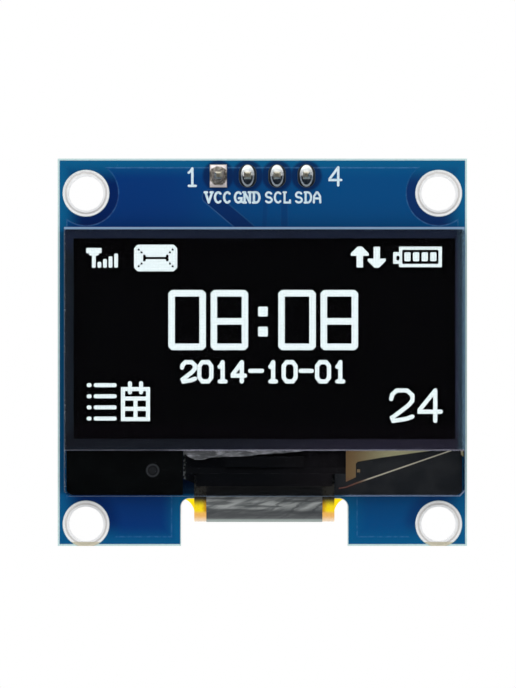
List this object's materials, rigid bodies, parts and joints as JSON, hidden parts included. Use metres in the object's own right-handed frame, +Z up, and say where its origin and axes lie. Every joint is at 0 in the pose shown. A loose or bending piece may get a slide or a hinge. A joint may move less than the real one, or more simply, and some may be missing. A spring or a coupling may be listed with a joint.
{
  "type": "small oled display module",
  "caption": "Small rectangular display module: a glass screen on a notched blue circuit board with mounting holes, a folded flex cable and a pin header on the back.",
  "frame": {"origin": "centre of the four mounting holes, on the back face of the board's laminate", "axes": "+X to the right as the screen is read, +Y from the screen to the back along the mounting holes, +Z up towards the header"},
  "size_m": [0.0354, 0.0116, 0.0335],
  "materials": {
    "laminate": "raw cut edge of glass-filled board",
    "solder_mask": "glossy blue solder mask",
    "tinned_copper": "tinned copper",
    "solder": "bright solder",
    "pin_metal": "thin bright plating",
    "header_plastic": "moulded, fine matt",
    "polarizer_film": "dark anti-glare film",
    "clear_glass": "clear, ground edges",
    "tinted_glass": "clear, ground edges",
    "edge_glue": "slate glue line",
    "dark_film": "unlit emitter",
    "lit_film": "glowing white",
    "silicon": "polished chip",
    "bronze_metal": "thin metal on glass",
    "bond_film": "pressed bond film",
    "black_tape": "black tape behind glass",
    "grey_tape": "dark grey tape behind glass",
    "grey_sealant": "cured bead",
    "white_foam": "closed cell foam",
    "amber_film": "amber film that lets light through",
    "grey_coverlay": "grey coverlay with faint lines",
    "contact_metal": "plated contacts",
    "moulded_black": "moulded, fine matt",
    "lead_metal": "tinned leads",
    "tan_ceramic": "fired ceramic with tinned ends",
    "black_ceramic": "coated ceramic with tinned ends"
  },
  "bodies": {
    "root": {"circuit_board": "laminate", "front_mask": "solder_mask", "back_mask": "solder_mask", "hole_plating_1": "tinned_copper", "hole_plating_2": "tinned_copper", "hole_plating_3": "tinned_copper", "hole_plating_4": "tinned_copper", "header_land_1": "tinned_copper", "header_land_2": "tinned_copper", "header_land_3": "tinned_copper", "header_land_4": "tinned_copper", "board_contacts": "tinned_copper", "chip_lands": "tinned_copper", "solder_joint_1": "solder", "solder_joint_2": "solder", "solder_joint_3": "solder", "solder_joint_4": "solder", "contact_solder": "solder", "chip_solder": "solder", "header_pin_1": "pin_metal", "header_pin_2": "pin_metal", "header_pin_3": "pin_metal", "header_pin_4": "pin_metal", "header_body": "header_plastic", "polarizer": "polarizer_film", "display_glass": "clear_glass", "cover_glass": "tinted_glass", "edge_seal": "edge_glue", "emitter_film": "dark_film", "clock_segments": "lit_film", "status_icons": "lit_film", "driver_chip": "silicon", "panel_metal": "bronze_metal", "flex_bond": "bond_film", "chip_shield": "black_tape", "left_shield_tape": "black_tape", "right_shield_tape": "grey_tape", "edge_sealant": "grey_sealant", "upper_foam_tape": "white_foam", "lower_foam_tape": "white_foam", "flex_film": "amber_film", "flex_coverlay": "grey_coverlay", "flex_contacts": "contact_metal", "regulator_body": "moulded_black", "regulator_lead_1": "lead_metal", "regulator_lead_2": "lead_metal", "regulator_lead_3": "lead_metal", "capacitor_1": "tan_ceramic", "capacitor_2": "tan_ceramic", "capacitor_3": "tan_ceramic", "capacitor_4": "tan_ceramic", "capacitor_5": "tan_ceramic", "resistor_1": "black_ceramic", "resistor_2": "black_ceramic", "resistor_3": "black_ceramic", "resistor_4": "black_ceramic", "resistor_5": "black_ceramic"}
  },
  "joints": []
}
